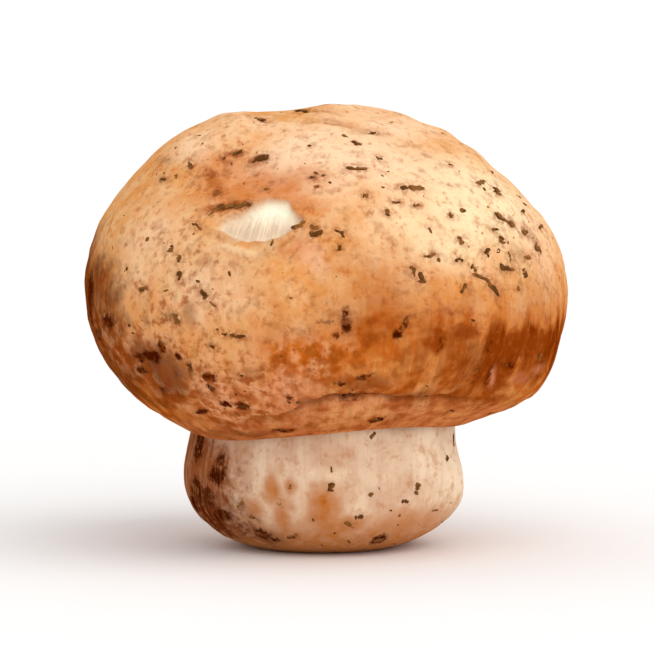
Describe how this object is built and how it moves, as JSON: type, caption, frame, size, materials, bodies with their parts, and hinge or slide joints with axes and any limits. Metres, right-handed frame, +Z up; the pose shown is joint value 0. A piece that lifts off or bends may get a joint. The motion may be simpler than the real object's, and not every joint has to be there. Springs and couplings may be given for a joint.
{
  "type": "brown mushroom",
  "caption": "Closed-cup brown mushroom: a domed cap with its margin rolled in against a short thick stem, which is cut flat and stands upright.",
  "frame": {"origin": "middle of the stem's flat cut foot", "axes": "+Z up through the cap, -Y towards the front, +X to the right as seen from the front"},
  "size_m": [0.0499, 0.0482, 0.0452],
  "materials": {
    "cap_skin": "satin",
    "stem_flesh": "matte",
    "peat": "matte"
  },
  "bodies": {
    "root": {"cap": "cap_skin", "stem": "stem_flesh"}
  },
  "joints": []
}
